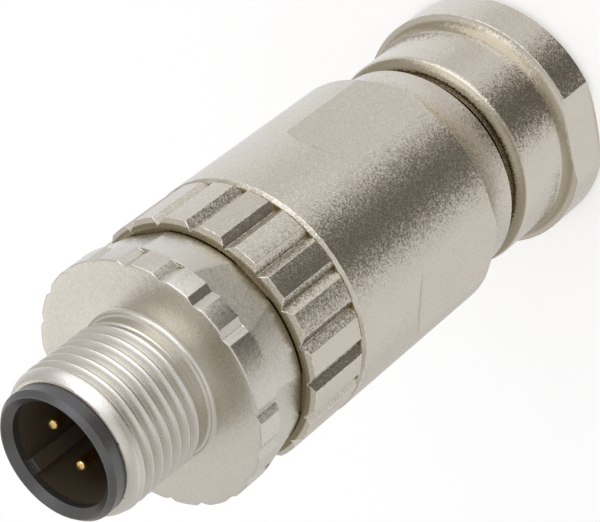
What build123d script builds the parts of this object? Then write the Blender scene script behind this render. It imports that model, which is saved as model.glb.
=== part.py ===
"""M12 circular connector, male, four pole, wired in the field, with an all metal housing.

The connector stands on its cable end, so the height of every piece is measured up from
the rear face of the pressure nut. The contacts look up, and the axis is the Z axis.
"""

import os
from math import acos, cos, hypot, radians, sin

from build123d import *

# Driving dimensions, in millimetres
thread_radius = 6.0
block_radius = 6.8
contact_circle_radius = 2.5

# Lengths along the axis, from the cable end up to the mating end
nut_length = 10.8
nut_groove = 0.9
sleeve_length = 21.95
grip_length = 6.25
spin_gap = 0.2
flange_length = 5.8
thread_reach = 8.8
insert_reach = 1.4

# Clearances between pieces that fit into each other
thread_clearance = 0.1
running_clearance = 0.1
fit_clearance = 0.05
seal_clearance = 0.03
loose_clearance = 0.3
overrun = 1.0

# How far a quarter round has gone, along each of its two sizes, at its middle
rounding_share = sin(radians(45))

# Walls round the terminal block, out to the sleeve's outer face
block_clearance = 0.4
spigot_wall = 1.8
spigot_step = 0.5
seal_wall = 0.75
ring_cavity_radius = block_radius + block_clearance
spigot_radius = ring_cavity_radius + spigot_wall
seal_bore_radius = spigot_radius + spigot_step
sleeve_radius = seal_bore_radius + seal_wall

# Small steps between the outer round pieces, each from the sleeve's radius
rim_step = 0.1
grip_step = 0.05
flange_step = 0.13
nut_rim_radius = sleeve_radius + rim_step
grip_radius = sleeve_radius - grip_step
flange_radius = sleeve_radius - flange_step

# Heights of the faces where the outer pieces meet
sleeve_bottom = nut_length + nut_groove
sleeve_top = sleeve_bottom + sleeve_length
grip_top = sleeve_top + grip_length
flange_bottom = grip_top + spin_gap
flange_top = flange_bottom + flange_length
screw_top = flange_top + thread_reach
insert_top = screw_top + insert_reach

# Sleeve, the main housing
shoulder_step = 1.2
shoulder_length = 4.6
shoulder_curve_radius = 10.0
tail_rounding = 0.3
sleeve_edge = 0.25
sleeve_flat_count = 4
sleeve_flat_depth = 0.525
sleeve_flat_setback = 6.95
sleeve_flat_ramp = 1.1
neck_step = 1.05
neck_wall = 1.05
neck_bevel = 0.4
neck_gap = 1.0
throat_step = 0.75
throat_length = 1.7
spigot_length = 6.6
seal_seat_length = 1.3
main_bore_step = 0.5
tail_radius = sleeve_radius - shoulder_step
neck_radius = tail_radius - neck_step
cage_bore_radius = neck_radius - neck_wall
throat_radius = cage_bore_radius - throat_step
main_bore_radius = spigot_radius - main_bore_step
spigot_bottom = sleeve_top - spigot_length
seal_bore_bottom = sleeve_top - seal_seat_length + fit_clearance
sleeve_flat_top = sleeve_top - sleeve_flat_setback

# Pressure nut, the rear cap that squeezes the cable seal
nut_barrel_step = 1.0
nut_lip_width = 0.85
nut_lip_height = 1.1
nut_rim_height = 3.9
nut_flare_radius = 1.6
nut_rear_bevel = 0.65
nut_rear_bevel_height = 0.45
nut_end_wall = 3.0
nut_flat_depth = 0.65
nut_flat_angle = 107.0
nut_hole_bevel = 0.4
nut_barrel_radius = nut_rim_radius - nut_barrel_step
nut_lip_radius = nut_barrel_radius - nut_lip_width
nut_bore_radius = neck_radius + thread_clearance

# Clamping parts round the cable
cable_hole_step = 0.9
washer_step = 0.4
washer_thickness = 0.8
cage_reach = 1.3
cage_wall = 1.55
cage_slot_count = 8
cage_slot_width = 1.2
cage_closed_length = 2.5
cage_finger_bevel = 0.7
seal_setback = 0.7
seal_wall_thickness = 1.8
seal_groove_count = 4
seal_groove_depth = 0.45
seal_groove_share = 0.5
washer_top = nut_end_wall + washer_thickness
neck_bottom = washer_top + neck_gap
cage_bottom = washer_top + loose_clearance
cage_top = sleeve_bottom + cage_reach
cage_bore_top = cage_top + loose_clearance
shield_seat = cage_bore_top + throat_length
cage_radius = cage_bore_radius - running_clearance
cage_inner_radius = cage_radius - cage_wall
seal_radius = cage_inner_radius - running_clearance
seal_inner_radius = seal_radius - seal_wall_thickness
cable_radius = seal_inner_radius + cable_hole_step
washer_inner_radius = cable_radius + washer_step

# Coupling screw, with the M12 thread and the spanner flats
flange_draft = 0.79
band_length = 2.2
flange_edge = 0.12
notch_count = 19
notch_start_angle = -42.0
notch_step_angle = 18.0
notch_half_width = 0.66
notch_depth = 0.42
spanner_flat_count = 6
spanner_flat_angle = 30.0
spanner_flat_depth = 0.45
collar_step = 0.15
collar_height = 0.4
collar_rounding = 0.4
relief_depth = 0.65
relief_length = 1.0
thread_run_out = 0.35
lead_in_step = 0.5
lead_in_height = 1.3
screw_wall = 0.95
screw_web_length = 1.8
flange_rear_radius = flange_radius - flange_draft
collar_radius = thread_radius + collar_step
relief_radius = thread_radius - relief_depth
lead_in_radius = thread_radius - lead_in_step
screw_bore_radius = thread_radius - screw_wall
band_bottom = flange_top - band_length
screw_web_bottom = flange_top - screw_web_length
collar_top = flange_top + collar_height
thread_bottom = collar_top + relief_length

# Contact carrier, the black insert that the pins stand in
rim_overhang = 0.22
rim_bevel = 0.32
rim_bevel_height = 0.38
mouth_wall = 0.99
mouth_bevel = 0.55
cavity_depth = 8.5
key_angle = 135.0
key_width = 1.1
key_height = 0.63
key_setback = 1.0
shank_radius = screw_bore_radius - running_clearance
rim_radius = screw_bore_radius + rim_overhang
mouth_radius = rim_radius - mouth_wall
key_inner_radius = mouth_radius - key_height
cavity_floor = insert_top - cavity_depth

# Grip ring, with the V grooves that the fingers hold
grip_bevel = 0.2
grip_bevel_width = 0.35
grip_crown = 0.2
grip_crown_width = 0.55
grip_edge = 0.25
groove_count = 20
groove_start_angle = 6.0
groove_half_width = 0.7
groove_depth = 0.55
web_length = 3.9
ring_neck_wall = 2.3
ring_neck_gap = 0.2
grip_crown_radius = grip_radius - grip_bevel_width
grip_front_radius = grip_crown_radius - grip_crown_width
ring_bore_radius = shank_radius + fit_clearance
ring_neck_radius = ring_bore_radius + ring_neck_wall
ring_neck_top = screw_web_bottom - ring_neck_gap
web_bottom = grip_top - web_length

# Small rings
o_ring_thickness = 1.0
clip_reach_share = 0.44
clip_thickness = 0.7
clip_groove_depth = 0.45
clip_gap_angle = 70.0
carrier_seal_height = 1.1
shield_wall = 0.45
shield_height = 3.4
shield_lap = 0.8
shield_slot_count = 12
shield_slot_width = 0.6
o_ring_radius = o_ring_thickness / 2 - seal_clearance
seal_seat_radius = seal_bore_radius - o_ring_thickness - fit_clearance
housing_seal_radius = (seal_seat_radius + seal_bore_radius) / 2
housing_seal_z = seal_bore_bottom + o_ring_thickness / 2
carrier_seal_radius = ring_bore_radius + o_ring_thickness / 2
carrier_seal_z = grip_top + carrier_seal_height
clip_inner_radius = shank_radius - clip_groove_depth + fit_clearance
clip_outer_radius = shank_radius + clip_reach_share * (ring_cavity_radius - shank_radius)
clip_bottom = web_bottom - fit_clearance - clip_thickness
carrier_bottom = clip_bottom - clip_groove_depth
shield_radius = main_bore_radius - running_clearance
shield_inner_radius = throat_radius - shield_lap

# Contacts, one turned pin with a wire clamp behind it, four times
contact_count = 4
pin_radius = 0.5
pin_tip_depth = 2.5
pin_tip_rounding = 0.35
pin_land = 1.2
stem_radius = 0.8
clamp_half_gap = 0.27
clamp_wall = 0.75
wire_hole_length = 7.6
screw_hole_radius = 1.0
clamp_screw_height = 4.9
clamp_radius = contact_circle_radius * sin(radians(180 / contact_count)) - clamp_half_gap
wire_hole_radius = clamp_radius - clamp_wall
stem_top = cavity_floor - pin_land
pin_top = insert_top - pin_tip_depth

# Terminal block behind the carrier
block_length = 13.3
block_end_wall = 1.5
block_edge = 0.5
wire_funnel_step = 0.4
wire_funnel_bevel = 0.35
screw_slot_width = 0.35
screw_slot_depth = 0.5
screw_recess = 0.75
screw_tip_clearance = 0.1
block_bottom = carrier_bottom - block_length
clamp_bottom = block_bottom + block_end_wall
clamp_screw_z = clamp_bottom + clamp_screw_height
wire_funnel_radius = wire_hole_radius + wire_funnel_step


def flat_cutter(reach, top_reach, bottom, top, ramp, half_width):
    """A wedge that planes one flat: reach at its lower end, top_reach at its upper end."""
    outside = reach + half_width
    with BuildPart() as cutter:
        with BuildSketch(Plane.XZ):
            with BuildLine():
                Polyline(
                    (reach, bottom),
                    (outside, bottom),
                    (outside, top + ramp * (outside - top_reach)),
                    (top_reach, top),
                    close=True,
                )
            make_face()
        extrude(amount=half_width, both=True)
    return cutter.part


def vee_cutter(outer_radius, half_width, depth, bottom, top):
    """A V shaped prism, its point towards the axis and its open side past the surface."""
    slope = half_width / depth
    mouth = outer_radius + overrun
    with BuildPart() as cutter:
        with BuildSketch(Plane.XY.offset(bottom)):
            with BuildLine():
                Polyline(
                    (outer_radius - depth, 0),
                    (mouth, slope * (mouth - outer_radius + depth)),
                    (mouth, -slope * (mouth - outer_radius + depth)),
                    close=True,
                )
            make_face()
        extrude(amount=top - bottom)
    return cutter.part


def make_pressure_nut():
    """Rear cap: a rim with two flats, a concave flare, a round barrel and the cable hole."""
    flare_rise = nut_rim_radius - nut_barrel_radius
    flare_run = (2 * nut_flare_radius * flare_rise - flare_rise**2) ** 0.5
    flare_top = nut_rim_height + flare_run
    half_turn = acos(1 - flare_rise / nut_flare_radius) / 2
    flare_middle = (
        nut_barrel_radius + nut_flare_radius * (1 - cos(half_turn)),
        flare_top - nut_flare_radius * sin(half_turn),
    )
    across_flats = 2 * (nut_rim_radius - nut_flat_depth)
    lip_bottom = nut_length - nut_lip_height
    lip_middle = (
        nut_lip_radius + (nut_barrel_radius - nut_lip_radius) * rounding_share,
        lip_bottom + nut_lip_height * rounding_share,
    )
    with BuildPart() as nut:
        with BuildSketch(Plane.XZ):
            with BuildLine():
                Polyline(
                    (nut_lip_radius, nut_length),
                    (nut_bore_radius, nut_length),
                    (nut_bore_radius, nut_end_wall),
                    (cable_radius, nut_end_wall),
                    (cable_radius, nut_hole_bevel),
                    (cable_radius + nut_hole_bevel, 0),
                    (nut_rim_radius - nut_rear_bevel, 0),
                    (nut_rim_radius, nut_rear_bevel_height),
                    (nut_rim_radius, nut_rim_height),
                )
                ThreePointArc((nut_rim_radius, nut_rim_height), flare_middle, (nut_barrel_radius, flare_top))
                Line((nut_barrel_radius, flare_top), (nut_barrel_radius, lip_bottom))
                ThreePointArc((nut_barrel_radius, lip_bottom), lip_middle, (nut_lip_radius, nut_length))
            make_face()
        revolve(axis=Axis.Z)
        with BuildSketch(Plane.XY):
            Circle(nut_rim_radius + overrun)
            Rectangle(
                across_flats,
                2 * (nut_rim_radius + overrun),
                rotation=nut_flat_angle,
                mode=Mode.SUBTRACT,
            )
        extrude(amount=flare_top, mode=Mode.SUBTRACT)
    return nut


def make_sleeve():
    """Main housing: a round tube with four flats, a tapered shoulder and a threaded neck."""
    shoulder_top = sleeve_bottom + shoulder_length
    reach = sleeve_radius - sleeve_flat_depth
    flat_width = hypot(sleeve_radius, reach) / 2
    ramp = sleeve_flat_ramp / sleeve_flat_depth
    flat = flat_cutter(reach, reach, sleeve_bottom, sleeve_flat_top - sleeve_flat_ramp, ramp, flat_width)
    with BuildPart() as sleeve:
        with BuildSketch(Plane.XZ):
            with BuildLine():
                Polyline(
                    (cage_bore_radius, neck_bottom),
                    (neck_radius - neck_bevel, neck_bottom),
                    (neck_radius, neck_bottom + neck_bevel),
                    (neck_radius, sleeve_bottom),
                    (tail_radius - tail_rounding, sleeve_bottom),
                    (tail_radius, sleeve_bottom + tail_rounding),
                )
                RadiusArc(
                    (tail_radius, sleeve_bottom + tail_rounding),
                    (sleeve_radius, shoulder_top),
                    shoulder_curve_radius,
                )
                Polyline(
                    (sleeve_radius, shoulder_top),
                    (sleeve_radius, sleeve_top - sleeve_edge),
                    (sleeve_radius - sleeve_edge, sleeve_top),
                    (seal_bore_radius, sleeve_top),
                    (seal_bore_radius, seal_bore_bottom),
                    (spigot_radius + thread_clearance, seal_bore_bottom),
                    (spigot_radius + thread_clearance, spigot_bottom - overrun),
                    (main_bore_radius, spigot_bottom - overrun),
                    (main_bore_radius, shield_seat),
                    (throat_radius, shield_seat),
                    (throat_radius, cage_bore_top),
                    (cage_bore_radius, cage_bore_top),
                    (cage_bore_radius, neck_bottom),
                )
            make_face()
        revolve(axis=Axis.Z)
        with PolarLocations(0, sleeve_flat_count):
            add(flat, mode=Mode.SUBTRACT)
    return sleeve


def make_grip_ring():
    """Front ring: the grooved grip, a bearing neck for the screw and a threaded spigot."""
    groove = vee_cutter(grip_radius, groove_half_width, groove_depth, sleeve_top, grip_top + overrun)
    crown_bottom = grip_top - grip_crown
    crown_middle = (
        grip_front_radius + grip_crown_width * rounding_share,
        grip_top - grip_crown * (1 - rounding_share),
    )
    with BuildPart() as ring:
        with BuildSketch(Plane.XZ):
            with BuildLine():
                Polyline(
                    (grip_front_radius, grip_top),
                    (ring_neck_radius, grip_top),
                    (ring_neck_radius, ring_neck_top),
                    (ring_bore_radius, ring_neck_top),
                    (ring_bore_radius, web_bottom),
                    (ring_cavity_radius, web_bottom),
                    (ring_cavity_radius, spigot_bottom),
                    (spigot_radius - neck_bevel, spigot_bottom),
                    (spigot_radius, spigot_bottom + neck_bevel),
                    (spigot_radius, sleeve_top - seal_seat_length),
                    (seal_seat_radius, sleeve_top - seal_seat_length),
                    (seal_seat_radius, sleeve_top),
                    (grip_radius - grip_edge, sleeve_top),
                    (grip_radius, sleeve_top + grip_edge),
                    (grip_radius, crown_bottom - grip_bevel),
                    (grip_crown_radius, crown_bottom),
                )
                ThreePointArc((grip_crown_radius, crown_bottom), crown_middle, (grip_front_radius, grip_top))
            make_face()
        revolve(axis=Axis.Z)
        with PolarLocations(0, groove_count, start_angle=groove_start_angle):
            add(groove, mode=Mode.SUBTRACT)
        with BuildSketch(Plane.XY.offset(carrier_seal_z - o_ring_thickness / 2 - seal_clearance)):
            Circle(ring_bore_radius + o_ring_thickness)
        extrude(amount=o_ring_thickness + 2 * seal_clearance, mode=Mode.SUBTRACT)
    return ring


def make_coupling_screw():
    """M12 screw: a threaded tube on a flange with six drafted flats and nineteen short notches.

    The notches are 18 degrees apart, and one place is left plain. The thread is the cylinder of
    its crests, and its turns are drawn in the visual model.
    """
    taper = (flange_radius - flange_rear_radius) / (band_bottom - flange_bottom)
    top_reach = flange_radius - spanner_flat_depth
    bottom_reach = flange_rear_radius - spanner_flat_depth - taper * overrun
    flat = flat_cutter(
        bottom_reach, top_reach, flange_bottom - overrun, band_bottom, 0, flange_radius / 2
    )
    notch = vee_cutter(flange_radius, notch_half_width, notch_depth, band_bottom, flange_top + overrun)
    notch_range = (notch_count - 1) * notch_step_angle
    collar_middle = (
        collar_radius + collar_rounding * (1 - rounding_share),
        flange_top + collar_rounding * (1 - rounding_share),
    )
    lead_middle = (
        lead_in_radius + (thread_radius - lead_in_radius) * rounding_share,
        screw_top - lead_in_height * (1 - rounding_share),
    )
    with BuildPart() as screw:
        with BuildSketch(Plane.XZ):
            with BuildLine():
                Polyline(
                    (lead_in_radius, screw_top),
                    (screw_bore_radius, screw_top),
                    (screw_bore_radius, screw_web_bottom),
                    (ring_neck_radius + running_clearance, screw_web_bottom),
                    (ring_neck_radius + running_clearance, flange_bottom),
                    (flange_rear_radius, flange_bottom),
                    (flange_radius, band_bottom),
                    (flange_radius, flange_top - flange_edge),
                    (flange_radius - flange_edge, flange_top),
                    (collar_radius + collar_rounding, flange_top),
                )
                ThreePointArc(
                    (collar_radius + collar_rounding, flange_top),
                    collar_middle,
                    (collar_radius, flange_top + collar_rounding),
                )
                Polyline(
                    (collar_radius, flange_top + collar_rounding),
                    (relief_radius, collar_top),
                    (relief_radius, thread_bottom - thread_run_out),
                    (thread_radius, thread_bottom),
                    (thread_radius, screw_top - lead_in_height),
                )
                ThreePointArc(
                    (thread_radius, screw_top - lead_in_height),
                    lead_middle,
                    (lead_in_radius, screw_top),
                )
            make_face()
        revolve(axis=Axis.Z)
        with PolarLocations(0, spanner_flat_count, start_angle=spanner_flat_angle):
            add(flat, mode=Mode.SUBTRACT)
        with PolarLocations(0, notch_count, notch_start_angle, notch_range, endpoint=True):
            add(notch, mode=Mode.SUBTRACT)
    return screw


def make_contact_carrier():
    """Black insert: a rim over the screw, a deep cavity with its key, and four pin holes."""
    key_length = cavity_depth - key_setback
    key_reach = mouth_radius + fit_clearance - key_inner_radius
    rim_bottom = screw_top + fit_clearance
    with BuildPart() as carrier:
        with BuildSketch(Plane.XZ):
            with BuildLine():
                Polyline(
                    (0, carrier_bottom),
                    (shank_radius, carrier_bottom),
                    (shank_radius, clip_bottom),
                    (shank_radius - clip_groove_depth, clip_bottom),
                    (shank_radius - clip_groove_depth, clip_bottom + clip_thickness),
                    (shank_radius, clip_bottom + clip_thickness),
                    (shank_radius, rim_bottom),
                    (rim_radius, rim_bottom),
                    (rim_radius, insert_top - rim_bevel_height),
                    (rim_radius - rim_bevel, insert_top),
                    (mouth_radius + mouth_bevel, insert_top),
                    (mouth_radius, insert_top - mouth_bevel),
                    (mouth_radius, cavity_floor),
                    (0, cavity_floor),
                    close=True,
                )
            make_face()
        revolve(axis=Axis.Z)
        with BuildSketch(Plane.XY.offset(cavity_floor)):
            with PolarLocations(key_inner_radius + key_reach / 2, 1, start_angle=key_angle):
                Rectangle(key_reach, key_width)
        extrude(amount=key_length)
        with BuildSketch(Plane.XY.offset(carrier_bottom)):
            with PolarLocations(contact_circle_radius, contact_count):
                Circle(stem_radius + seal_clearance)
        extrude(amount=stem_top - carrier_bottom, mode=Mode.SUBTRACT)
        with BuildSketch(Plane.XY.offset(stem_top)):
            with PolarLocations(contact_circle_radius, contact_count):
                Circle(pin_radius + seal_clearance)
        extrude(amount=pin_land, mode=Mode.SUBTRACT)
    return carrier


def make_contact(angle):
    """Turned contact: rounded pin, stem in the carrier, and a clamp bored for the wire and its screw."""
    clamp_height = carrier_bottom - clamp_bottom
    centre = (contact_circle_radius * cos(radians(angle)), contact_circle_radius * sin(radians(angle)))
    with BuildPart() as contact:
        with BuildSketch(Plane.XY.offset(clamp_bottom)):
            with Locations(centre):
                Circle(clamp_radius)
        extrude(amount=clamp_height)
        with BuildSketch(Plane.XY.offset(carrier_bottom)):
            with Locations(centre):
                Circle(stem_radius)
        extrude(amount=stem_top - carrier_bottom)
        with BuildSketch(Plane.XY.offset(stem_top)):
            with Locations(centre):
                Circle(pin_radius)
        extrude(amount=pin_top - stem_top)
        fillet(contact.edges().sort_by(Axis.Z)[-1], pin_tip_rounding)
        with BuildSketch(Plane.XY.offset(clamp_bottom)):
            with Locations(centre):
                Circle(wire_hole_radius)
        extrude(amount=wire_hole_length, mode=Mode.SUBTRACT)
        side = Plane(
            origin=(centre[0], centre[1], clamp_screw_z),
            z_dir=(cos(radians(angle)), sin(radians(angle)), 0),
        )
        with BuildSketch(side):
            Circle(screw_hole_radius)
        extrude(amount=clamp_radius + overrun, mode=Mode.SUBTRACT)
    return contact


def make_terminal_block():
    """Insulator round the four wire clamps, with funnels for the wires and holes for the screws."""
    screw_reach = block_radius - contact_circle_radius + overrun
    with BuildPart() as block:
        with BuildSketch(Plane.XY.offset(block_bottom)):
            Circle(block_radius)
        extrude(amount=block_length)
        rims = block.edges().filter_by(GeomType.CIRCLE).sort_by(Axis.Z)
        chamfer(rims[0], block_edge)
        with BuildSketch(Plane.XY.offset(clamp_bottom - fit_clearance)):
            with PolarLocations(contact_circle_radius, contact_count):
                Circle(clamp_radius + fit_clearance)
        extrude(amount=block_length, mode=Mode.SUBTRACT)
        with PolarLocations(contact_circle_radius, contact_count):
            with Locations((0, 0, block_bottom)):
                Cone(
                    wire_funnel_radius + wire_funnel_bevel,
                    wire_funnel_radius,
                    block_end_wall,
                    align=(Align.CENTER, Align.CENTER, Align.MIN),
                    mode=Mode.SUBTRACT,
                )
        with PolarLocations(contact_circle_radius, contact_count):
            with Locations(Location((0, 0, clamp_screw_z), (0, 90, 0))):
                Cylinder(
                    screw_hole_radius + running_clearance,
                    screw_reach,
                    align=(Align.CENTER, Align.CENTER, Align.MIN),
                    mode=Mode.SUBTRACT,
                )
    return block


def make_terminal_screws():
    """Four slotted grub screws, each pointing at the axis above its own wire hole."""
    tip = wire_hole_radius + screw_tip_clearance
    screw_length = block_radius - screw_recess - contact_circle_radius - tip
    with BuildPart() as screws:
        with PolarLocations(contact_circle_radius, contact_count):
            with Locations(Location((tip, 0, clamp_screw_z), (0, 90, 0))):
                Cylinder(
                    screw_hole_radius - fit_clearance,
                    screw_length,
                    align=(Align.CENTER, Align.CENTER, Align.MIN),
                )
            with Locations((tip + screw_length, 0, clamp_screw_z)):
                Box(
                    2 * screw_slot_depth,
                    2 * screw_hole_radius,
                    screw_slot_width,
                    mode=Mode.SUBTRACT,
                )
    return screws


def make_o_ring(ring_radius, height):
    """A round section rubber ring, lying level at the given height."""
    with BuildPart() as ring:
        with BuildSketch(Plane.XZ):
            with Locations((ring_radius, height)):
                Circle(o_ring_radius)
        revolve(axis=Axis.Z)
    return ring


def make_carrier_clip():
    """Open snap ring that holds the carrier down in the grip ring."""
    middle = (clip_inner_radius + clip_outer_radius) / 2
    with BuildPart() as clip:
        with BuildSketch(Plane.XZ):
            with Locations((middle, clip_bottom + clip_thickness / 2)):
                Rectangle(clip_outer_radius - clip_inner_radius, clip_thickness - fit_clearance)
        revolve(axis=Axis.Z, revolution_arc=360 - clip_gap_angle)
    return clip


def make_shield_ring():
    """Thin spring cup that joins the cable shield to the sleeve, slotted into fingers."""
    with BuildPart() as shield:
        with BuildSketch(Plane.XZ):
            with BuildLine():
                Polyline(
                    (shield_inner_radius, shield_seat),
                    (shield_radius, shield_seat),
                    (shield_radius, shield_seat + shield_height),
                    (shield_radius - shield_wall, shield_seat + shield_height),
                    (shield_radius - shield_wall, shield_seat + shield_wall),
                    (shield_inner_radius, shield_seat + shield_wall),
                    close=True,
                )
            make_face()
        revolve(axis=Axis.Z)
        with BuildSketch(Plane.XY.offset(shield_seat + 2 * shield_wall)):
            with PolarLocations(shield_radius, shield_slot_count):
                Rectangle(4 * shield_wall, shield_slot_width)
        extrude(amount=shield_height, mode=Mode.SUBTRACT)
    return shield


def make_cable_seal():
    """Rubber grommet with ribs in its bore that grip the cable jacket."""
    bottom = cage_bottom + fit_clearance
    length = cage_top - seal_setback - bottom
    pitch = length / seal_groove_count
    margin = (1 - seal_groove_share) / 2 * pitch
    with BuildPart() as seal:
        with BuildSketch(Plane.XY.offset(bottom)):
            Circle(seal_radius)
            Circle(seal_inner_radius, mode=Mode.SUBTRACT)
        extrude(amount=length)
        for row in range(seal_groove_count):
            with BuildSketch(Plane.XY.offset(bottom + row * pitch + margin)):
                Circle(seal_inner_radius + seal_groove_depth)
            extrude(amount=seal_groove_share * pitch, mode=Mode.SUBTRACT)
    return seal


def make_clamp_cage():
    """Plastic cage: a closed ring above, with fingers that bend in on the seal below."""
    with BuildPart() as cage:
        with BuildSketch(Plane.XZ):
            with BuildLine():
                Polyline(
                    (cage_inner_radius, cage_bottom),
                    (cage_radius - cage_finger_bevel, cage_bottom),
                    (cage_radius, cage_bottom + cage_finger_bevel),
                    (cage_radius, cage_top),
                    (cage_inner_radius, cage_top),
                    close=True,
                )
            make_face()
        revolve(axis=Axis.Z)
        with BuildSketch(Plane.XY.offset(cage_bottom)):
            with PolarLocations(cage_radius, cage_slot_count):
                Rectangle(2 * (cage_radius - cage_inner_radius) + overrun, cage_slot_width)
        extrude(amount=cage_top - cage_closed_length - cage_bottom, mode=Mode.SUBTRACT)
    return cage


def make_thrust_washer():
    """Flat washer that lets the pressure nut turn without twisting the seal."""
    with BuildPart() as washer:
        with BuildSketch(Plane.XY.offset(nut_end_wall)):
            Circle(nut_bore_radius - loose_clearance)
            Circle(washer_inner_radius, mode=Mode.SUBTRACT)
        extrude(amount=washer_thickness)
    return washer


def save(piece, name):
    """Label a finished piece and write it to its own STEP file."""
    piece.part.label = name
    export_step(piece.part, f"parts/{name}.step")


os.makedirs("parts", exist_ok=True)
save(make_pressure_nut(), "pressure_nut")
save(make_thrust_washer(), "thrust_washer")
save(make_clamp_cage(), "clamp_cage")
save(make_cable_seal(), "cable_seal")
save(make_sleeve(), "sleeve")
save(make_shield_ring(), "shield_ring")
save(make_o_ring(housing_seal_radius, housing_seal_z), "housing_o_ring")
save(make_grip_ring(), "grip_ring")
save(make_o_ring(carrier_seal_radius, carrier_seal_z), "carrier_o_ring")
save(make_carrier_clip(), "carrier_clip")
save(make_contact_carrier(), "contact_carrier")
save(make_terminal_block(), "terminal_block")
save(make_terminal_screws(), "terminal_screws")
for number in range(contact_count):
    save(make_contact(number * 360 / contact_count), f"contact_{number + 1}")
save(make_coupling_screw(), "coupling_screw")
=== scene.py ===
"""Looks of an M12 circular connector, four pole, male, in a nickel plated metal housing.

The connector stands on its cable end. Lengths are in metres, and the axis is the Z axis.
"""

import logging
import math
from collections.abc import Callable
from dataclasses import dataclass
from enum import Enum
from typing import ClassVar

import bmesh
import bpy
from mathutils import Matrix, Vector


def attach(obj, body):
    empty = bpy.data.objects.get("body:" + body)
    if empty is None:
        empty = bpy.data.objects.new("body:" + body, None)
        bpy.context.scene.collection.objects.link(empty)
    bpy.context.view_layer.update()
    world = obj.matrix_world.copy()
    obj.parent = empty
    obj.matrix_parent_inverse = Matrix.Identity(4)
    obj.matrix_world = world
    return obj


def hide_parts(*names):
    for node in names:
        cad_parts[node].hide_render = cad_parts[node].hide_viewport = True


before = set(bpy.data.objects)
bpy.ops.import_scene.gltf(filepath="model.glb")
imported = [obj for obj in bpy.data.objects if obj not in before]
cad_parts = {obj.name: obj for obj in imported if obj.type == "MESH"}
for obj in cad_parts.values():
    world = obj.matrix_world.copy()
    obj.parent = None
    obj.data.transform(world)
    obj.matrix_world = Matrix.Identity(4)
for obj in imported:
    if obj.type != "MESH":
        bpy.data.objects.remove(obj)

LOG = logging.getLogger("connector")
MM = 0.001

Colour = tuple[float, float, float]
Span = tuple[float, float]
Outline = list[tuple[float, float]]
Source = bpy.types.NodeSocket | Colour | float
Limit = Callable[[float, float, float], float]

WHITE = (1.0, 1.0, 1.0, 1.0)
GREY: Colour = (0.5, 0.5, 0.5)


class Zone(Enum):
    """The material slots of the coupling screw, one for each kind of surface."""

    FLANGE = 0
    THREAD = 1


class RecordSlot(Enum):
    """A material slot of the record, which nothing in this script reads."""

    NICKEL = "nickel_body"


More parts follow.
